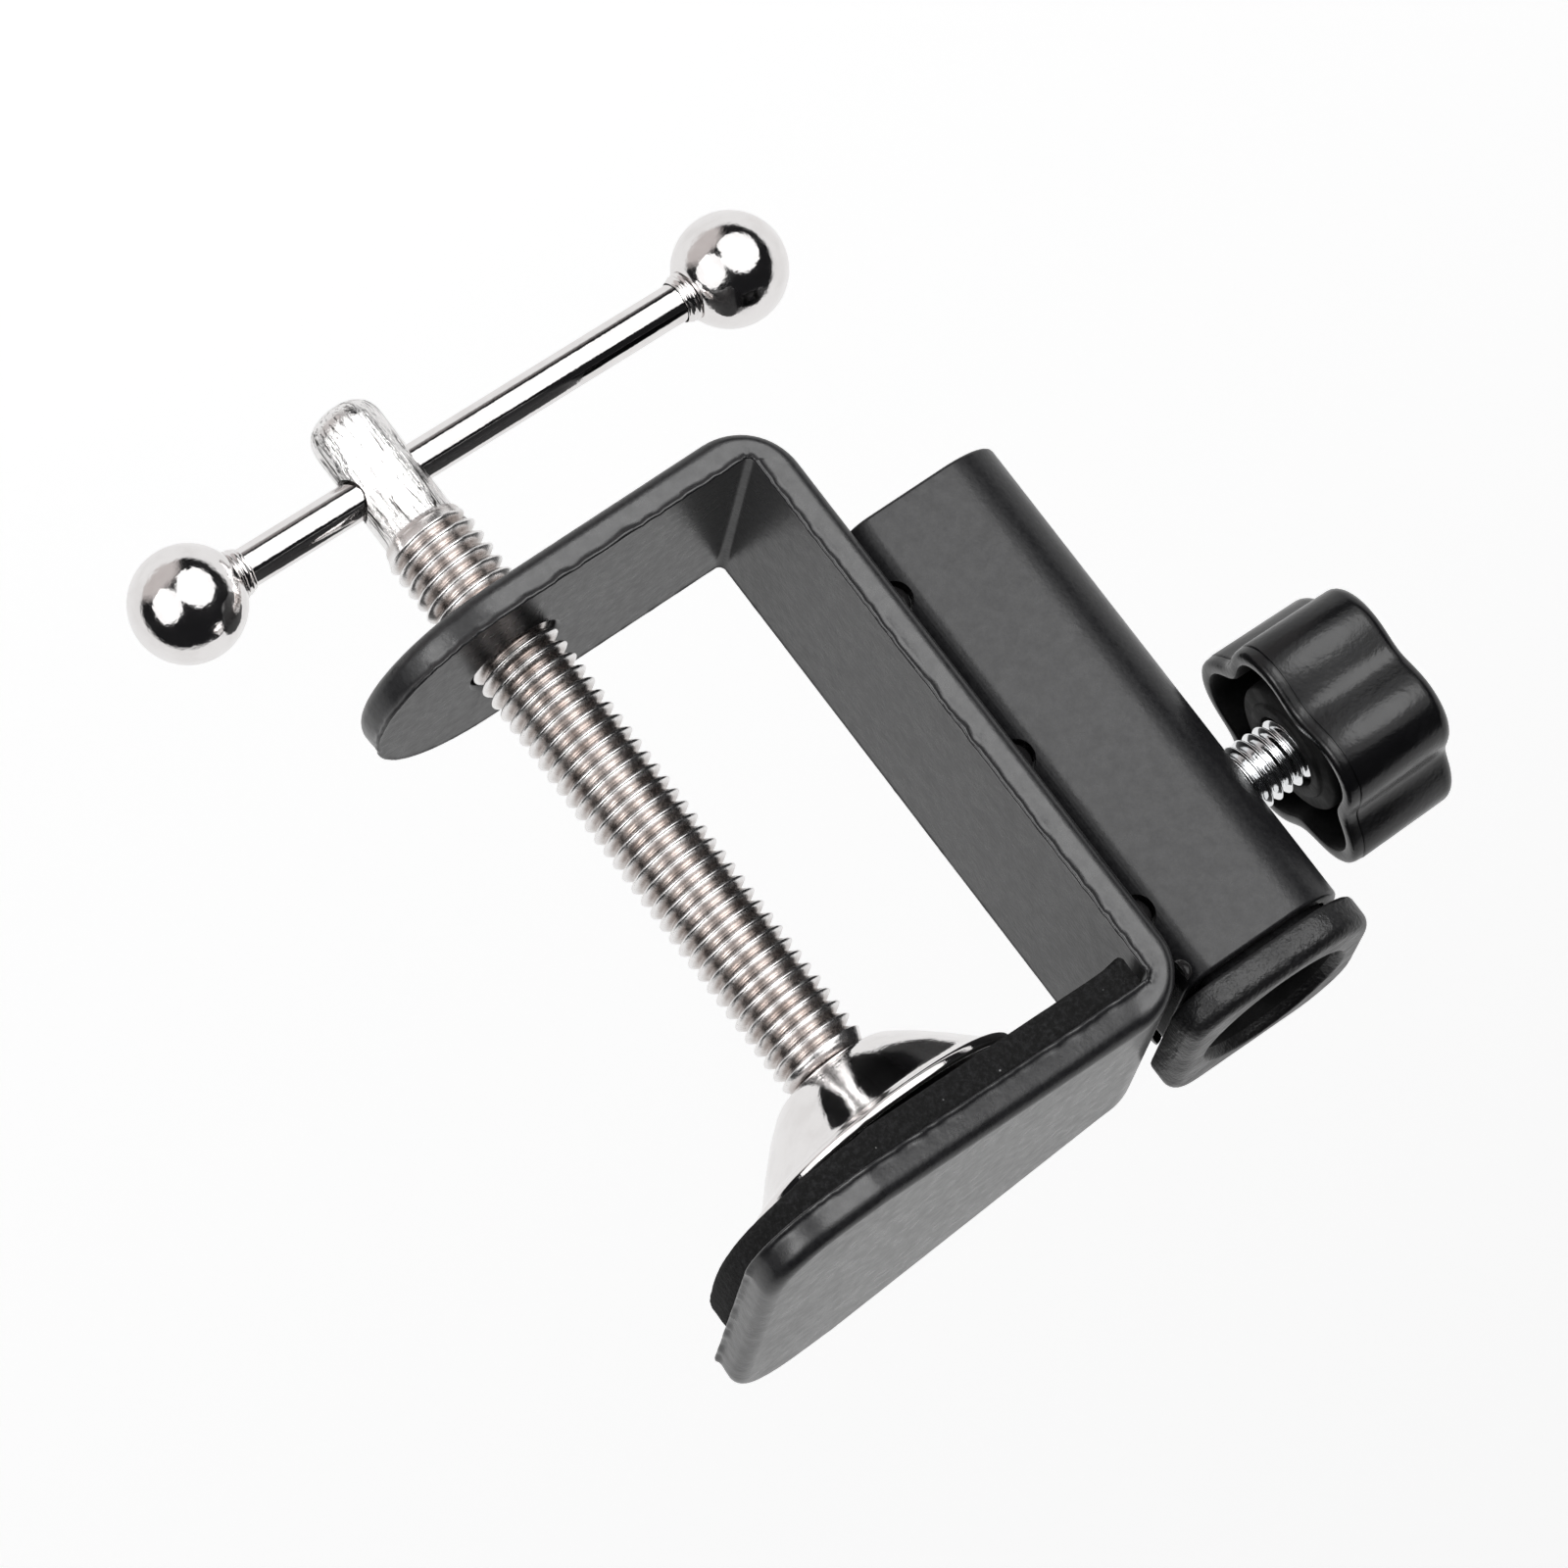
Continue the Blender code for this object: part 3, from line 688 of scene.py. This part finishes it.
def threaded_rod(name, below, above, z0, pitch, turns, root, crest, n=72, turn=None):
    """One closed right-hand threaded rod: (radius, z) rings below, the thread, and rings above."""
    total, size = turns * n, len(THREAD)
    points = []

    def put(i, place, height):
        at = i / n + place
        grow = min(1.0, at / THREAD_FADE) * min(1.0, (turns + 1 - at) / THREAD_FADE)
        grow = max(0.0, grow) ** 0.6
        mid = (root + crest) / 2
        r = mid + (root + (crest - root) * height - mid) * grow
        a = 2 * pi * i / n
        points.append((r * cos(a), r * sin(a), z0 + pitch * (i / n + place)))

    for i in range(total + 1):
        for place, height in THREAD:
            put(i, place, height)
    for i in range(total + 1, total + n + 1):
        put(i, *THREAD[0])

    def row0(i):
        """The index of the first point in row i; rows past the last whole one hold only that point."""
        return i * size if i <= total else (total + 1) * size + i - total - 1

    faces = []
    for i in range(total):
        for j in range(size - 1):
            a, b = i * size + j, (i + 1) * size + j
            faces.append((a, b, b + 1, a + 1))
        faces.append((i * size + size - 1, (i + 1) * size + size - 1, row0(i + 1 + n), row0(i + n)))
    for rings, up in ((below[::-1], False), (above, True)):
        first = len(points)
        for r, z in rings:
            points += circle(r, z, n)
        for k in range(n):
            b0, b1 = first + k, first + (k + 1) % n
            if not up:
                seam = [*range(size), row0(n)] if k == n - 1 else [row0(k + 1)]
                faces.append(tuple([b0, b1] + seam + [row0(k)]))
            elif k == 0:
                seam = [row0(total + n)] + [total * size + j for j in range(size - 1, 0, -1)]
                faces.append(tuple([row0(total), row0(total + 1), b1, b0] + seam))
            else:
                faces.append((row0(total + k), row0(total + k + 1), b1, b0))
        for i in range(len(rings) - 1):
            a, b = first + i * n, first + (i + 1) * n
            faces += [(a + k, a + (k + 1) % n, b + (k + 1) % n, b + k) for k in range(n)]
        faces.append(tuple(first + (len(rings) - 1) * n + k for k in range(n)))
    return mesh_of(name, points, faces, turn)


SCREW_PITCH, SCREW_TURNS = 1.25, 42
SCREW_ROOT_R, SCREW_CREST_R = 3.12, 3.9
SHANK_R = 3.2
BAR_Z = -17.7
BAR_R = 1.7
BAR_ANGLE = radians(-4.0)
BAR_SPAN = (-19.2, 34.6)  # the balls' centres along the bar
BALL_R = 4.83


def screw_mesh():
    """The domed shank with its cross hole, the thread, and the neck that holds the swivel pad."""
    shank = [(0.3, -24.9), (0.9, -24.88), (1.6, -24.76), (2.1, -24.55), (2.5, -24.26), (2.8, -23.92)]
    shank += [(3.0, -23.55), (3.12, -23.15), (3.18, -22.75), (SHANK_R, -22.3), (SHANK_R, -20.0)]
    shank += [(SHANK_R, -15.4), (SHANK_R, -13.1), (3.24, -12.9), (3.42, -12.7), (3.5, -12.5), (3.52, -12.3)]
    neck = [(3.4, 41.62), (2.9, 41.66), (2.3, 41.7), (2.3, 42.5), (2.3, 44.2)]
    neck += [(2.05, 44.5), (1.8, 44.6), (0.3, 44.6)]
    mesh = threaded_rod("screw", shank, neck, -12.15, SCREW_PITCH, SCREW_TURNS, SCREW_ROOT_R, SCREW_CREST_R)
    side = Vector((cos(BAR_ANGLE), sin(BAR_ANGLE), 0)) * 9
    low, high = (tuple(side * k + Vector((0, 0, BAR_Z))) for k in (-1, 1))
    return cut(mesh, [tool_cylinder(BAR_R + 0.28, low, high)])


def pad_mesh():
    """The swivel pad: a pressed dish with a thin rolled rim, tilted to lie flat on the foam."""
    z0 = 41.9
    top = 49.12
    outer = [(2.7, z0), (4.2, z0), (4.9, z0 + 0.12), (5.6, z0 + 0.5), (7.2, z0 + 1.75), (9.3, z0 + 3.75)]
    outer += [(10.9, z0 + 5.45), (11.5, z0 + 5.95), (12.0, z0 + 6.15), (12.45, z0 + 6.3)]
    outer += [(12.7, z0 + 6.55), (12.7, top)]
    inner = [(12.0, top), (11.6, top - 0.45), (10.4, top - 0.95), (8.5, z0 + 4.55), (6.5, z0 + 2.6)]
    inner += [(4.9, z0 + 1.2), (4.2, z0 + 0.9), (2.7, z0 + 0.9)]
    profile = rounded(outer + inner, 0.9)
    pivot = Matrix.Translation((0, 0, (z0 + 0.4) * MM))
    turn = pivot @ Matrix.Rotation(JAW_TILT, 4, "Y") @ pivot.inverted()
    return lathe("pad", profile, 144, closed=True, turn=turn)


def bar_pieces(chrome, bright):
    """The T-bar's rod, balls and crimped collars, on one line through the screw."""
    base = Matrix.Translation((0, 0, BAR_Z * MM)) @ Matrix.Rotation(BAR_ANGLE, 4, "Z")
    base = base @ Matrix.Rotation(pi / 2, 4, "Y")
    low, high = BAR_SPAN
    rod = [(BAR_R - 0.3, low - 1.5), (BAR_R, low - 1.2), (BAR_R, low + 12)]
    rod += [(BAR_R, high - 14), (BAR_R, high + 1.2), (BAR_R - 0.3, high + 1.5)]
    mesh = lathe("rod", rod, 72, turn=base)
    add_piece("t_bar_rod_bright", mesh, chrome, "t_bar", ["t_bar_rod"])
    bore = BAR_R + 0.1
    for side, centre, way in (("left", low, -1), ("right", high, 1)):
        mouth = sqrt(BALL_R**2 - (bore + 0.5) ** 2)
        ball = []
        for i in range(1, 60):
            a = pi * i / 60
            if -cos(a) * BALL_R < mouth - 0.12:
                ball.append((BALL_R * sin(a), way * BALL_R * cos(a)))
        ball += [(bore + 0.5, -way * mouth), (bore + 0.36, -way * (mouth + 0.02))]
        ball += [(bore + 0.1, -way * (mouth - 0.12)), (bore, -way * (mouth - 0.4))]
        ball += [(bore, way * 1.9), (0.3, way * 2.1)]
        mesh = lathe("ball", [(r, centre + h) for r, h in ball], 128, turn=base)
        node = f"t_bar_ball_{side}"
        add_piece(f"{node}_bright", mesh, bright, "t_bar", [node], 60)
        start = centre - way * (mouth + 0.06)
        rings = [(bore, 0.0), (bore + 0.24, 0.0), (bore + 0.34, 0.08), (bore + 0.34, 0.26)]
        rings += [(bore + 0.18, 0.38), (bore + 0.20, 0.46), (bore + 0.27, 0.6), (bore + 0.20, 0.78)]
        rings += [(bore + 0.08, 0.9), (bore + 0.11, 1.0), (bore + 0.07, 1.12), (bore, 1.16)]
        mesh = lathe("collar", [(r, start - way * h) for r, h in rings], 72, closed=True, turn=base)
        for v in mesh.vertices:
            # three separate samples, as noise_vector would take its offsets from the clock
            at = v.co * 900
            v.co += Vector([noise.noise(at + Vector((0, 0, 20 * k))) for k in range(3)]) * 0.00005
        node = f"t_bar_collar_{side}"
        add_piece(f"{node}_bright", mesh, chrome, "t_bar", [node], 60)


# ---------------------------------------------------------------- socket tube, welds and liner

TUBE_X = (25.05, 40.75)
TUBE_HALF_W = 8.0
TUBE_WALL = 1.3
TUBE_Z = (8.35, 53.8)
WELD_Z = (15.1, 31.1, 46.7)
TACK_Z = TUBE_Z[1] - 1.3
KNOB_Z = 41.3
TUBE_IN_R, TUBE_OUT_R = 2.6, 5.6  # corner radii at the back plate and away from it
FLANGE_X = (22.9, 41.2)
FLANGE_HALF_W = 8.9
FLANGE_Z = (54.6, 57.6)
FLANGE_IN_R, FLANGE_OUT_R = 3.4, 5.6
BORE_X = 32.1
BORE_R = 6.15
MOUTH_R = 6.85


def square_ring(z, grow, across, half_w, in_r, out_r, n_arc=14, n_side=14):
    """A square outline at z, grown outwards, with one radius at the plate's side and one at the other."""
    x0, x1, h = across[0] - grow, across[1] + grow, half_w + grow
    r0, r1 = max(in_r + grow, 0.5), max(out_r + grow, 0.5)
    corners = [arc(x1 - r1, h - r1, r1, 0, 90, n_arc), arc(x0 + r0, h - r0, r0, 90, 180, n_arc)]
    corners += [arc(x0 + r0, -h + r0, r0, 180, 270, n_arc), arc(x1 - r1, -h + r1, r1, 270, 360, n_arc)]
    points = []
    for k, corner in enumerate(corners):
        (ax, ay), (bx, by) = corner[-1], corners[(k + 1) % 4][0]
        points += corner
        points += [(ax + (bx - ax) * i / n_side, ay + (by - ay) * i / n_side) for i in range(1, n_side)]
    return [(x, y, z) for x, y in points]


def tube_ring(z, grow=0.0):
    return square_ring(z, grow, TUBE_X, TUBE_HALF_W, TUBE_IN_R, TUBE_OUT_R)


def flange_ring(z, grow=0.0):
    return square_ring(z, grow, FLANGE_X, FLANGE_HALF_W, FLANGE_IN_R, FLANGE_OUT_R)


def tube_mesh():
    """The open square tube, with notches for the welds and a hole for the knob's stud."""
    z0, z1 = TUBE_Z
    e = 0.3
    steps = [radians(a) for a in (0, 30, 60, 90)]
    rings = [tube_ring(z0 + e * (1 - cos(a)), -e * (1 - sin(a))) for a in steps]
    rings += [tube_ring(z0 + 1.5), tube_ring(z1 - 1.5)]
    rings += [tube_ring(z1 - e * (1 - cos(a)), -e * (1 - sin(a))) for a in steps[::-1]]
    rings += [tube_ring(z1, -TUBE_WALL + 0.1), tube_ring(z1 - 0.1, -TUBE_WALL)]
    rings += [tube_ring(z0 + 0.1, -TUBE_WALL), tube_ring(z0, -TUBE_WALL + 0.1)]
    sides = [(z, y0, y1) for z in WELD_Z for y0, y1 in ((-9.5, -6.2), (6.2, 9.5))]
    tools = [tool_cylinder(1.75, (TUBE_X[0], y0, z), (TUBE_X[0], y1, z)) for z, y0, y1 in sides]
    tools.append(tool_cylinder(3.15, (37.5, 0, KNOB_Z), (43, 0, KNOB_Z)))
    return cut(loft("tube", rings, closed=True), tools)


def weld_mesh(name, z, way, notch):
    """Weld metal pooled in a notch, or a small tack, with the folds that it set in."""
    r, y, tall = (1.55, 6.5, 1.3) if notch else (0.95, 8.05, 0.75)
    rings = []
    for i in range(13):
        a = radians(90 * i / 12)
        ring = []
        for k in range(48):
            b = 2 * pi * k / 48
            q = max(r * cos(a), 0.02)
            x, dz = q * cos(b), q * sin(b)
            lump = noise.noise(Vector((x * 1.1, dz * 1.1, z))) * 0.16 * sin(a)
            slump = 0.35 * sin(a) * cos(b) * (q / r)
            height = tall * (0.35 + 0.65 * sin(a)) + lump - slump if i else tall * 0.35
            ring.append((max(TUBE_X[0] + x, TUBE_X[0] + 0.02), way * (y + height), z + dz))
        rings.append(ring)
    base = [(p[0], way * (y - 0.02 if notch else y), p[2]) for p in rings[0]]
    return loft(name, [base] + rings)


def liner_mesh():
    """The plastic liner: a sleeve in the tube, a square flange with soft edges, and a flared round bore."""
    z0, z1 = FLANGE_Z
    inside = -TUBE_WALL - 0.3
    low = 46.5
    rings = [tube_ring(low, inside - 0.3), tube_ring(low + 0.5, inside)]
    rings += [tube_ring(z0 - 0.1, inside), tube_ring(z0, inside + 0.1)]
    rings += [flange_ring(z0, -0.5), flange_ring(z0 + 0.04, -0.25)]
    rings += [flange_ring(z0 + 0.16, -0.08), flange_ring(z0 + 0.4, 0)]
    e = 1.15
    for a in (0, 15, 30, 45, 60, 75, 90):
        t = radians(a)
        rings.append(flange_ring(z1 - e + e * sin(t), -e * (1 - cos(t))))
    square = rings[-1]
    angles = [atan2(y, x - BORE_X) for x, y, _ in square]

    def round_ring(r, z):
        return [(BORE_X + r * cos(a), r * sin(a), z) for a in angles]

    for t in (0.35, 0.7):
        rings.append([(x + (BORE_X + MOUTH_R * cos(a) - x) * t, y + (MOUTH_R * sin(a) - y) * t, z1)
                      for (x, y, _), a in zip(square, angles)])
    flare = ((0.22, 0), (0.1, -0.03), (0.0, -0.13), (-0.1, -0.4), (-0.35, -0.9), (-0.62, -1.8), (-0.7, -2.4))
    rings += [round_ring(MOUTH_R + r, z1 + z) for r, z in flare]
    rings += [round_ring(BORE_R, low + 0.3), round_ring(BORE_R + 0.2, low)]
    return loft("liner", rings, closed=True)


# ---------------------------------------------------------------- knob and stud

KNOB_X = (45.3, 56.1)
KNOB_R = 9.56
LOBES, LOBE_AT, LOBE = 5, radians(35.3), 0.97
STUD_PITCH = 1.0
STUD_ROOT_R, STUD_CREST_R = 2.36, 2.95
STUD_TIP_X = 39.3


def lobe(a):
    """How far the knob's outline stands out from its mean radius at that angle."""
    turn = LOBES * (a - LOBE_AT)
    return LOBE * (cos(turn) - 0.09 * cos(2 * turn))


def knob_reach(c):
    """How far outside the knob's outline a point in metres is, in millimetres; below 0 inside it."""
    y, z = c.y / MM, c.z / MM - KNOB_Z
    return hypot(y, z) - KNOB_R - lobe(atan2(z, y))


def knob_mesh():
    """The knob from its closed end, over the grip and the rim with its parting line, into the boss."""
    x0, x1 = KNOB_X
    n = 240

    def lobed(x, shrink, depth=1.0):
        ring = []
        for k in range(n):
            a = 2 * pi * k / n
            r = KNOB_R - shrink + depth * lobe(a)
            ring.append((x, r * cos(a), KNOB_Z + r * sin(a)))
        return ring

    def plain(r, x):
        return [(x, r * cos(2 * pi * k / n), KNOB_Z + r * sin(2 * pi * k / n)) for k in range(n)]

    rings = [plain(0.4, x1), plain(4.2, x1), plain(5.4, x1 - 0.03)]
    rings += [lobed(x1 - 0.06, 2.6, 0.6), lobed(x1 - 0.12, 1.9, 0.8)]
    for a in range(75, -1, -15):
        t = radians(a)
        rings.append(lobed(x1 - 1.35 + 1.2 * sin(t), 0.1 + 1.35 * (1 - cos(t)), 1 - 0.12 * sin(t)))
    rings += [lobed(x1 - 4, 0.05), lobed(x0 + 1.16, -0.04), lobed(x0 + 1.08, 0.0), lobed(x0 + 1.03, 0.12)]
    rings += [lobed(x0 + 0.97, 0.12), lobed(x0 + 0.9, 0.0), lobed(x0 + 0.8, 0.02), lobed(x0 + 0.45, 0.05)]
    rings += [lobed(x0 + 0.18, 0.16), lobed(x0 + 0.04, 0.36), lobed(x0, 0.6), lobed(x0, 1.15)]
    rings.append(lobed(x0 + 0.06, 1.32))
    rings += [lobed(x0 + 0.35, 1.5), lobed(x0 + 4, 1.6), lobed(x1 - 2.9, 1.8), lobed(x1 - 2.6, 2.1)]
    boss = [(6.2, x1 - 2.4), (5.95, x1 - 2.6), (5.82, x0 + 1.4), (5.76, x0 + 1.0), (5.6, x0 + 0.82)]
    boss += [(4.5, x0 + 0.8), (4.42, x0 + 0.74), (4.38, x0 + 0.6), (4.28, x0 + 0.48), (4.1, x0 + 0.44)]
    boss += [(3.5, x0 + 0.44), (3.28, x0 + 0.5), (3.2, x0 + 0.65), (3.2, x1 - 3.6), (0.4, x1 - 3.4)]
    return loft("knob", rings + [plain(r, x) for r, x in boss])


def stud_mesh():
    """The knob's threaded stud, from its dog point to inside the boss."""
    length = KNOB_X[1] - 4.0 - STUD_TIP_X
    turn = Matrix.Translation((STUD_TIP_X * MM, 0, KNOB_Z * MM)) @ Matrix.Rotation(pi / 2, 4, "Y")
    below = [(0.4, 0.0), (2.0, 0.0), (2.3, 0.1), (2.55, 0.4)]
    above = [(2.6, length - 0.5), (2.3, length), (0.4, length)]
    turns = int(length - 0.9) - 1
    sizes = (0.5, STUD_PITCH, turns, STUD_ROOT_R, STUD_CREST_R)
    return threaded_rod("stud", below, above, *sizes, n=64, turn=turn)


# ---------------------------------------------------------------- assembly

# Which faces take a second material with painted shade: each of these tests a face's centre, in metres.


def in_throat(c):
    """The strip's inner faces, between the arm and the jaw."""
    return c.x / MM < BACK_X + 0.01 and -0.01 < c.z / MM < THROAT + 0.01


def in_bore(c):
    """The liner's bore, below its mouth."""
    return hypot(c.x / MM - BORE_X, c.y / MM) < BORE_R + 0.35 and c.z / MM < FLANGE_Z[1] - 0.5


def in_knob(c):
    """The hollow behind the knob's rim, with the boss."""
    return KNOB_X[0] + 0.2 < c.x / MM < KNOB_X[1] - 1.8 and knob_reach(c) < -1.3


def build():
    """Make every visible piece and give the two nodes that stay as they are their looks."""
    # inside holds the plastic with painted shade, for the liner's bore and the knob's hollow
    weld, foam, screw, inside = weld_paint(), foam_material(), screw_plate(), plastic_with_painted_shade()
    coat = powder_coat("powder_coated_steel", 0.5)
    # painted shade on the strip's inner faces: the same coat with far less specular, so the throat reads
    # darker
    throat_shade_coat = powder_coat("powder_coat_painted_shade_in_throat", 0.16)
    # painted shade on the tube: the same coat with less specular, so the tube reads darker than the frame
    tube_shade_coat = powder_coat("powder_coat_painted_shade_on_tube", 0.29)
    chrome = plated("plated_steel", (0.85, 0.83, 0.825), (0.68, 0.65, 0.64), 0.05, 0.10, 0.05)
    ball = plated("plated_ball", (0.85, 0.83, 0.825), (0.68, 0.65, 0.64), 0.07, 0.14, 0.3)
    zinc = plated("zinc_steel", (0.88, 0.89, 0.90), (0.66, 0.66, 0.67), 0.06, 0.14, 0.15)
    knob = moulded("knob_plastic", 0.19, 0.26, 2400, 0.00003, (0.004, 0.004, 0.0045), 0.34)
    liner = moulded("liner_plastic", 0.32, 0.42, 2200, 0.00014, (0.007, 0.007, 0.0075), 0.34)

    piece = add_piece("clamp_frame", c_frame_mesh(), coat, "frame", ["c_frame"], 50, True)
    paint_shade_on(piece, throat_shade_coat, in_throat)
    pad = add_piece("foam_pad", foam_mesh(), foam, "frame", ["jaw_foam_pad"], 60)
    add_piece("socket_tube", tube_mesh(), tube_shade_coat, "frame", ["arm_tube"], 50, True)
    for side, way in (("near", 1), ("far", -1)):
        for i, z in enumerate((*WELD_Z, TACK_Z), 1):
            mesh = weld_mesh("weld", z, way, notch=z != TACK_Z)
            add_piece(f"weld_{side}_{i}", mesh, weld, "frame", [f"weld_bead_{side}_{i}"], 70)
    piece = add_piece("socket_liner", liner_mesh(), liner, "frame", ["tube_liner"], 50)
    paint_shade_on(piece, inside, in_bore)
    add_piece("swivel_pad_bright", pad_mesh(), chrome, "pad", ["swivel_pad"], 50)
    add_piece("screw_bright", screw_mesh(), screw, "screw", ["clamp_screw"], 60)
    bar_pieces(chrome, ball)
    piece = add_piece("knob_lobed", knob_mesh(), knob, "locking_knob", ["knob_body"], 50)
    paint_shade_on(piece, inside, in_knob)
    add_piece("knob_stud_bright", stud_mesh(), zinc, "locking_knob", ["knob_stud"], 60)
    for node, mat in (("pad_retainer", zinc), ("stud_tip", nylon_material())):
        for k in range(len(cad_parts[node].material_slots)):
            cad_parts[node].material_slots[k].material = mat


bpy.context.scene.view_settings.view_transform = "Standard"
make_camera()
make_world()
softbox("softbox_upper", toward(0.46, 0.89, 38), 1.5, 2.2, 2.5, 1.25, 35)
softbox("softbox_upper_core", toward(0.40, 0.92, 38), 1.45, 0.98, 1.12, 4.2, 35)
softbox("softbox_left", toward(-0.99, -0.16, 37), 1.5, 1.8, 1.8, 1.2, 20)
softbox("softbox_left_core", toward(-0.99, -0.16, 37), 1.45, 0.56, 0.8, 5.6, 20)
make_floor()
build()

bpy.context.view_layer.update()
